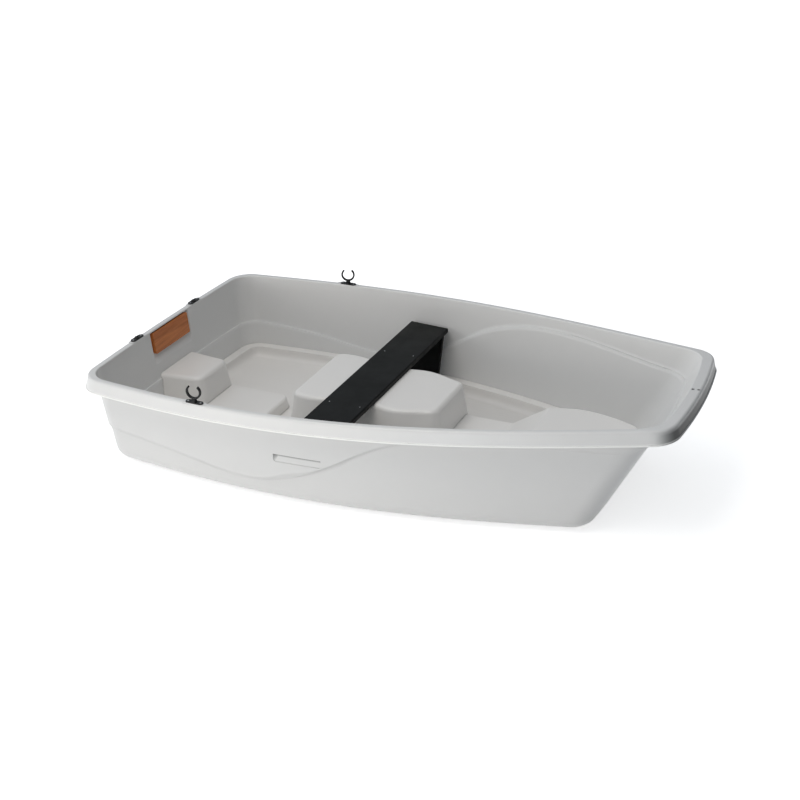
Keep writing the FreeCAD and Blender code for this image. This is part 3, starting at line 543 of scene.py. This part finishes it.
def satin_steel(name, colour):
    """Stainless steel, turned and tumbled: bright with a fine round brushing."""
    made, tree, shader = surface(name, Metallic=1.0)
    place = node(tree, "ShaderNodeTexCoord").outputs["Object"]
    # Turning marks of 0.4 mm, drawn ten times coarser than a lathe leaves them
    turning = node(tree, "ShaderNodeTexNoise", {
        "Vector": place, "Scale": 1 / 0.0004, "Detail": 2.0}).outputs[0]
    tint = node(tree, "ShaderNodeMix", {
        0: turning, 6: rgba(colour, 0.85), 7: rgba(colour)}, data_type="RGBA").outputs[2]
    tree.links.new(tint, shader.inputs["Base Color"])
    rough = node(tree, "ShaderNodeMapRange", {
        "Value": turning, "To Min": 0.24, "To Max": 0.38}).outputs[0]
    tree.links.new(rough, shader.inputs["Roughness"])
    return made


class BOAT_OT_finish_fittings(bpy.types.Operator):
    """Finish the sockets, the oarlocks and their keepers"""
    bl_idname = "boat.finish_fittings"
    bl_label = "Finish fittings"

    def execute(self, context):
        settings = context.scene.boat_fittings
        # Injection moulded black nylon: a spark-eroded grain, soft highlights, paler where rubbed
        made, tree, shader = surface("black_moulded_nylon", IOR=1.53, Specular_IOR_Level=0.3)
        place = node(tree, "ShaderNodeTexCoord").outputs["Object"]
        # The grain is drawn 1.1 mm wide so that it shows, and the rubbed patches are 22 mm across
        grain = node(tree, "ShaderNodeTexNoise", {
            "Vector": place, "Scale": 900.0, "Detail": 2.0}).outputs[0]
        patch = node(tree, "ShaderNodeTexNoise", {
            "Vector": place, "Scale": 45.0, "Detail": 4.0}).outputs[0]
        tint = node(tree, "ShaderNodeMix", {
            0: patch, 6: rgba(settings.nylon, 0.7), 7: rgba(settings.nylon, 1.6)},
            data_type="RGBA").outputs[2]
        tree.links.new(tint, shader.inputs["Base Color"])
        rough = node(tree, "ShaderNodeMapRange", {
            "Value": patch, "From Min": 0.3, "From Max": 0.7, "To Min": 0.32, "To Max": 0.46}).outputs[0]
        tree.links.new(rough, shader.inputs["Roughness"])
        soft = node(tree, "ShaderNodeBevel", {"Radius": 0.0012}, samples=4).outputs[0]
        bump = node(tree, "ShaderNodeBump", {
            "Height": grain, "Strength": 0.2, "Distance": 0.0002, "Normal": soft}).outputs[0]
        tree.links.new(bump, shader.inputs["Normal"])
        dress(made, *PLATES, "oarlock_port", "oarlock_starboard")
        steel = satin_steel("tumbled_stainless_steel", settings.steel)
        dress(steel, "oarlock_keeper_port", "oarlock_keeper_starboard")
        return {"FINISHED"}


class BOAT_OT_finish_motor_pad(bpy.types.Operator):
    """Finish the wood motor pad"""
    bl_idname = "boat.finish_motor_pad"
    bl_label = "Finish motor pad"

    def execute(self, context):
        settings = context.scene.boat_pad
        # Varnished mahogany board: red-brown wood with its grain across the boat under a gloss coat
        made, tree, shader = surface(
            "varnished_mahogany", IOR=1.5, Coat_Weight=0.3, Coat_Roughness=0.16, Coat_IOR=1.5)
        place = node(tree, "ShaderNodeTexCoord").outputs["Object"]
        # The grain runs along Y, so the pattern is stretched there
        along = node(tree, "ShaderNodeMapping", {"Vector": place, "Scale": (1.0, 0.07, 1.0)}).outputs[0]
        # Slow bends, 70 mm apart over the grain
        bend = node(tree, "ShaderNodeTexNoise", {
            "Vector": along, "Scale": 14.0, "Detail": 3.0, "Roughness": 0.5}).outputs["Color"]
        bent = node(tree, "ShaderNodeMix", {
            0: 0.045, 4: along, 5: bend}, data_type="VECTOR").outputs[1]
        lines = node(tree, "ShaderNodeTexNoise", {
            "Vector": bent, "Scale": 1 / settings.line, "Detail": 4.0, "Roughness": 0.55}).outputs[0]
        lines = node(tree, "ShaderNodeMapRange", {
            "Value": lines, "From Min": 0.3, "From Max": 0.75}).outputs[0]
        tint = node(tree, "ShaderNodeMix", {
            0: lines, 6: rgba(settings.pale), 7: rgba(settings.dark)}, data_type="RGBA").outputs[2]
        # Pores are 0.3 mm wide, drawn 1.1 mm wide and 14 mm long so that they show
        pore = node(tree, "ShaderNodeMapping", {"Vector": place, "Scale": (900.0, 70.0, 900.0)}).outputs[0]
        pore = node(tree, "ShaderNodeTexNoise", {"Vector": pore, "Scale": 1.0, "Detail": 1.0}).outputs[0]
        pore = node(tree, "ShaderNodeMapRange", {
            "Value": pore, "From Min": 0.6, "From Max": 0.8, "To Max": 0.3}).outputs[0]
        tint = node(tree, "ShaderNodeMix", {
            0: pore, 6: tint, 7: rgba(settings.dark, 0.5)}, data_type="RGBA").outputs[2]
        tree.links.new(tint, shader.inputs["Base Color"])
        rough = node(tree, "ShaderNodeMapRange", {"Value": lines, "To Min": 0.42, "To Max": 0.6}).outputs[0]
        tree.links.new(rough, shader.inputs["Roughness"])
        soft = node(tree, "ShaderNodeBevel", {"Radius": 0.003}, samples=4).outputs[0]
        bump = node(tree, "ShaderNodeBump", {
            "Height": lines, "Strength": 0.15, "Distance": 0.0005, "Normal": soft}).outputs[0]
        tree.links.new(bump, shader.inputs["Normal"])
        dress(made, "motor_pad")
        return {"FINISHED"}


def circle(form, radius, height, around, middle=(0.0, 0.0, 0.0)):
    """A level ring of points round a middle, where radius is one value or one for each point."""
    radii = radius if isinstance(radius, list) else [radius] * around
    ring = []
    for i, reach in enumerate(radii):
        turn = 2 * math.pi * i / around
        spot = Vector((reach * math.cos(turn), reach * math.sin(turn), height))
        ring.append(form.verts.new(Vector(middle) + spot))
    return ring


def skin_between(form, rings):
    """Faces from each ring of points to the next one."""
    for low, high in zip(rings, rings[1:]):
        for i in range(len(low)):
            j = (i + 1) % len(low)
            form.faces.new((low[i], low[j], high[j], high[i]))


def form_mesh(form, name):
    """A mesh of a form, with its faces pointing outwards."""
    bmesh.ops.recalc_face_normals(form, faces=form.faces)
    mesh = bpy.data.meshes.new(name)
    form.to_mesh(mesh)
    form.free()
    return mesh


def screw_head():
    """A domed head with a cross recess, 1 m across, its seat on the origin and its axis along Z."""
    form = bmesh.new()
    around = 20
    # Radius and height from the seat over the dome
    dome = ((0.5, 0.0), (0.5, 0.06), (0.46, 0.15), (0.36, 0.23), (0.26, 0.27))
    rings = [circle(form, radius, height, around) for radius, height in dome]
    # The recess: a cross of four arms, narrower at its bottom
    cross = [0.24 if i % 5 == 0 else 0.07 for i in range(around)]
    rings.append(circle(form, cross, 0.285, around))
    rings.append(circle(form, [0.8 * reach for reach in cross], 0.12, around))
    skin_between(form, rings)
    form.faces.new(rings[-1])
    form.faces.new(list(reversed(rings[0])))
    return form_mesh(form, "screw_head_form")


def fastener_tree(material, head):
    """Geometry nodes that set a screw head on every point, along its axis, turned by a seed."""
    tree = bpy.data.node_groups.new("screws_on_points", "GeometryNodeTree")
    for name, side, kind in (
            ("Geometry", "INPUT", "Geometry"), ("Geometry", "OUTPUT", "Geometry"),
            ("Head diameter", "INPUT", "Float"), ("Seed", "INPUT", "Int")):
        tree.interface.new_socket(name, in_out=side, socket_type="NodeSocket" + kind)
    given = node(tree, "NodeGroupInput")
    pattern = node(tree, "GeometryNodeObjectInfo", {"Object": head}).outputs["Geometry"]
    axis = node(tree, "GeometryNodeInputNamedAttribute", {"Name": "axis"}, data_type="FLOAT_VECTOR")
    aligned = node(tree, "FunctionNodeAlignRotationToVector", {
        "Vector": axis.outputs["Attribute"]}, axis="Z").outputs[0]
    angle = node(tree, "FunctionNodeRandomValue", {
        2: 0.0, 3: 2 * math.pi, "Seed": given.outputs["Seed"]}, data_type="FLOAT").outputs[1]
    spin = node(tree, "FunctionNodeAxisAngleToRotation", {
        "Axis": (0.0, 0.0, 1.0), "Angle": angle}).outputs[0]
    turned = node(tree, "FunctionNodeRotateRotation", {
        0: aligned, 1: spin}, rotation_space="LOCAL").outputs[0]
    heads = node(tree, "GeometryNodeInstanceOnPoints", {
        "Points": given.outputs["Geometry"], "Instance": pattern, "Rotation": turned,
        "Scale": given.outputs["Head diameter"]}).outputs[0]
    solid = node(tree, "GeometryNodeRealizeInstances", {"Geometry": heads}).outputs[0]
    finished = node(tree, "GeometryNodeSetMaterial", {
        "Geometry": solid, "Material": material}).outputs[0]
    node(tree, "NodeGroupOutput", {"Geometry": finished})
    return tree


def set_screws(name, tree, places, diameter, seed):
    """Upright screw heads at places, as one plain mesh that rides on the hull."""
    mesh = bpy.data.meshes.new(name + "_points")
    mesh.from_pydata(places, [], [])
    axes = mesh.attributes.new("axis", "FLOAT_VECTOR", "POINT")
    for item in axes.data:
        item.vector = (0.0, 0.0, 1.0)
    carrier = bpy.data.objects.new(name, mesh)
    bpy.context.scene.collection.objects.link(carrier)
    nodes = carrier.modifiers.new("screws", "NODES")
    nodes.node_group = tree
    keys = {item.name: item.identifier for item in tree.interface.items_tree if item.in_out == "INPUT"}
    nodes[keys["Head diameter"]] = diameter
    nodes[keys["Seed"]] = seed
    graph = bpy.context.evaluated_depsgraph_get()
    made = bpy.data.meshes.new_from_object(carrier.evaluated_get(graph))
    carrier.modifiers.remove(nodes)
    carrier.data = made
    made.name = name
    if not len(made.polygons):
        raise RuntimeError(name + " came out empty")
    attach(carrier, "hull")


class BOAT_OT_fit_screws(bpy.types.Operator):
    """Fit the screws of the socket plates and the thwart"""
    bl_idname = "boat.fit_screws"
    bl_label = "Fit screws"

    def execute(self, context):
        settings = context.scene.boat_screws
        steel = satin_steel("screw_stainless_steel", context.scene.boat_fittings.steel)
        head = bpy.data.objects.new("screw_head_pattern", screw_head())
        context.scene.collection.objects.link(head)
        tree = fastener_tree(steel, head)
        plates = []
        for name in PLATES:
            low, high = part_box(name)
            middle = (low + high) / 2
            run = high - low
            along = Vector((1, 0, 0)) if run.x > run.y else Vector((0, 1, 0))
            for side in (-1, 1):
                spot = middle + side * PLATE_SCREW_REACH * along
                plates.append((spot.x, spot.y, high.z - PLATE_SCREW_DROP))
        set_screws("socket_screws", tree, plates, settings.plate_head, seed=3)
        board = []
        for x in (THWART_HIGH.x - THWART_SCREW_AHEAD, THWART_LOW.x + THWART_SCREW_AFT):
            for y in (-THWART_SCREW_SIDE, THWART_SCREW_SIDE):
                board.append((x, y, THWART_HIGH.z - THWART_SCREW_SINK))
        set_screws("thwart_screws", tree, board, settings.thwart_head, seed=5)
        bpy.data.objects.remove(head)
        return {"FINISHED"}


def eyelet_form(places, bore, diameter):
    """Level flanges with rounded edges, each with its top round a point, in one mesh."""
    inner, outer = bore / 2, diameter / 2
    depth, bevel, outer_bevel = 0.0015, 0.0003, 0.0004
    outline = (
        (inner, -depth), (inner, -bevel), (inner + bevel, 0.0),
        (outer - outer_bevel, 0.0), (outer, -bevel), (outer, -depth))
    around = 48
    form = bmesh.new()
    for place in places:
        rings = [circle(form, radius, height, around, place) for radius, height in outline]
        skin_between(form, rings + rings[:1])
    return form_mesh(form, "painter_eyelets")


class BOAT_OT_fit_eyelets(bpy.types.Operator):
    """Fit the dark eyelets of the two painter holes in the bow rim"""
    bl_idname = "boat.fit_eyelets"
    bl_label = "Fit eyelets"

    def execute(self, context):
        settings = context.scene.boat_eyelets
        # The flanges are pressed in where they would pass the highest point of the bow
        highest = CAD_BOX[1][2] - EYELET_MARGIN
        places = [(x, 0.0, min(sheer(x) + settings.rise, highest)) for x in PAINTER_HOLES]
        mesh = eyelet_form(places, settings.bore, settings.diameter)
        mesh.materials.append(bpy.data.materials["black_moulded_nylon"])
        made = bpy.data.objects.new("painter_eyelets", mesh)
        context.scene.collection.objects.link(made)
        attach(made, "hull")
        return {"FINISHED"}


def lay_floor(scene, colour):
    """A white floor that the camera and mirrors see rise to white, and that keeps the boat's shadow."""
    made, tree, shader = surface("white_studio_floor", Roughness=0.9, Specular_IOR_Level=0.1)
    place = node(tree, "ShaderNodeTexCoord").outputs["Object"]
    paper = node(tree, "ShaderNodeTexNoise", {"Vector": place, "Scale": 3.0}).outputs[0]
    tint = node(tree, "ShaderNodeMix", {
        0: paper, 6: rgba(colour, 0.99), 7: rgba(colour)}, data_type="RGBA").outputs[2]
    tree.links.new(tint, shader.inputs["Base Color"])
    rays = node(tree, "ShaderNodeLightPath").outputs
    seen = node(tree, "ShaderNodeMath", {
        0: rays["Is Camera Ray"], 1: rays["Is Glossy Ray"]}, operation="MAXIMUM").outputs[0]
    seen = node(tree, "ShaderNodeMath", {
        0: seen, 1: rays["Is Transmission Ray"]}, operation="MAXIMUM").outputs[0]
    away = node(tree, "ShaderNodeVectorMath", {0: place}, operation="LENGTH").outputs["Value"]
    lift = node(tree, "ShaderNodeMapRange", {
        "Value": away, "From Min": FLOOR_FADE[0], "From Max": FLOOR_FADE[1],
        "To Min": FLOOR_LIFT, "To Max": 1.0}).outputs[0]
    lift = node(tree, "ShaderNodeMath", {0: seen, 1: lift}, operation="MULTIPLY").outputs[0]
    shader.inputs["Emission Color"].default_value = (1.0, 1.0, 1.0, 1.0)
    tree.links.new(lift, shader.inputs["Emission Strength"])
    corners = [(x * FLOOR_REACH, y * FLOOR_REACH, 0) for x, y in ((-1, -1), (1, -1), (1, 1), (-1, 1))]
    mesh = bpy.data.meshes.new("studio_floor")
    mesh.from_pydata(corners, [], [(0, 1, 2, 3)])
    mesh.materials.append(made)
    floor = bpy.data.objects.new("studio_floor", mesh)
    scene.collection.objects.link(floor)


def light_room(scene):
    """A room lit by its ceiling and, from behind the stern, by one pale wall, seen as pure white."""
    world = bpy.data.worlds.new("studio_world")
    scene.world = world
    world.use_nodes = True
    tree = world.node_tree
    tree.nodes.clear()
    rays = node(tree, "ShaderNodeLightPath").outputs
    seen = node(tree, "ShaderNodeMath", {
        0: rays["Is Camera Ray"], 1: rays["Is Transmission Ray"]}, operation="MAXIMUM").outputs[0]
    way = node(tree, "ShaderNodeTexCoord").outputs["Generated"]
    part = node(tree, "ShaderNodeSeparateXYZ", {0: way}).outputs
    ceiling = node(tree, "ShaderNodeMapRange", {
        "Value": part["Z"], "To Min": CEILING[0], "To Max": CEILING[1]}).outputs[0]
    wall = node(tree, "ShaderNodeMapRange", {
        "Value": part["X"], "From Max": -1.0, "To Min": 0.0, "To Max": STERN_WALL}).outputs[0]
    room = node(tree, "ShaderNodeMath", {0: ceiling, 1: wall}, operation="ADD").outputs[0]
    dim = node(tree, "ShaderNodeBackground", {"Color": ROOM_COLOUR, "Strength": room})
    white = node(tree, "ShaderNodeBackground", {"Color": (1.0, 1.0, 1.0, 1.0), "Strength": 1.0})
    mixed = node(tree, "ShaderNodeMixShader", {
        0: seen, 1: dim.outputs[0], 2: white.outputs[0]}).outputs[0]
    node(tree, "ShaderNodeOutputWorld", {"Surface": mixed})


def soft_box(scene, name, place, size, power, colour):
    """A rectangular studio lamp that faces the middle of the boat."""
    data = bpy.data.lights.new(name, "AREA")
    data.shape = "RECTANGLE"
    data.size, data.size_y = size
    data.energy = power
    data.color = colour
    lamp = bpy.data.objects.new(name, data)
    scene.collection.objects.link(lamp)
    lamp.location = place
    lamp.rotation_euler = (Vector(place) - Vector(LAMP_TARGET)).to_track_quat("Z", "Y").to_euler()


def set_camera(scene, settings):
    """The camera that took the photo, on a line of sight from its target."""
    data = bpy.data.cameras.new("photo_camera")
    data.lens = settings.lens
    data.sensor_width = SENSOR_WIDTH
    camera = bpy.data.objects.new("photo_camera", data)
    scene.collection.objects.link(camera)
    scene.camera = camera
    az, el = settings.azimuth, settings.elevation
    back = Vector((math.sin(az) * math.cos(el), -math.cos(az) * math.cos(el), math.sin(el)))
    right = (-back).cross(Vector((0, 0, 1))).normalized()
    up = right.cross(-back)
    turn = Matrix((right, up, back)).transposed() @ Matrix.Rotation(settings.roll, 3, "Z")
    spot = Vector(settings.target) + back * settings.distance
    camera.matrix_world = Matrix.Translation(spot) @ turn.to_4x4()


class BOAT_OT_set_stage(bpy.types.Operator):
    """Set up the floor, the lamps, the world and the camera"""
    bl_idname = "boat.set_stage"
    bl_label = "Set stage"

    def execute(self, context):
        scene = context.scene
        lay_floor(scene, scene.boat_stage.floor)
        light_room(scene)
        for lamp in LAMPS:
            soft_box(scene, *lamp)
        set_camera(scene, scene.boat_stage)
        scene.view_settings.view_transform = "Standard"
        return {"FINISHED"}


class BOAT_PT_dressing(bpy.types.Panel):
    """Lists the settings and the steps"""
    bl_idname = "BOAT_PT_dressing"
    bl_label = "Pram dinghy"
    bl_space_type = "VIEW_3D"
    bl_region_type = "UI"
    bl_category = "Dinghy"

    def draw(self, context):
        for owner, group, step in STEPS:
            box = self.layout.box()
            for key in group.__annotations__:
                box.prop(getattr(context.scene, owner), key)
            box.operator(step)


STEPS = (
    ("boat_mouldings", MouldingSettings, "boat.finish_mouldings"),
    ("boat_thwart", ThwartSettings, "boat.finish_thwart"),
    ("boat_fittings", FittingSettings, "boat.finish_fittings"),
    ("boat_pad", PadSettings, "boat.finish_motor_pad"),
    ("boat_screws", ScrewSettings, "boat.fit_screws"),
    ("boat_eyelets", EyeletSettings, "boat.fit_eyelets"),
    ("boat_stage", StageSettings, "boat.set_stage"),
)
CLASSES = (
    BOAT_OT_finish_mouldings, BOAT_OT_finish_thwart, BOAT_OT_finish_fittings,
    BOAT_OT_finish_motor_pad, BOAT_OT_fit_screws, BOAT_OT_fit_eyelets, BOAT_OT_set_stage,
    BOAT_PT_dressing,
)


def register():
    for owner, group, step in STEPS:
        bpy.utils.register_class(group)
        setattr(bpy.types.Scene, owner, bpy.props.PointerProperty(type=group))
    for item in CLASSES:
        bpy.utils.register_class(item)


def unregister():
    for item in reversed(CLASSES):
        bpy.utils.unregister_class(item)
    for owner, group, step in reversed(STEPS):
        delattr(bpy.types.Scene, owner)
        bpy.utils.unregister_class(group)


def main():
    register()
    bpy.ops.boat.finish_mouldings()
    bpy.ops.boat.finish_thwart()
    bpy.ops.boat.finish_fittings()
    bpy.ops.boat.finish_motor_pad()
    bpy.ops.boat.fit_screws()
    bpy.ops.boat.fit_eyelets()
    bpy.ops.boat.set_stage()


if __name__ == "__main__":
    main()
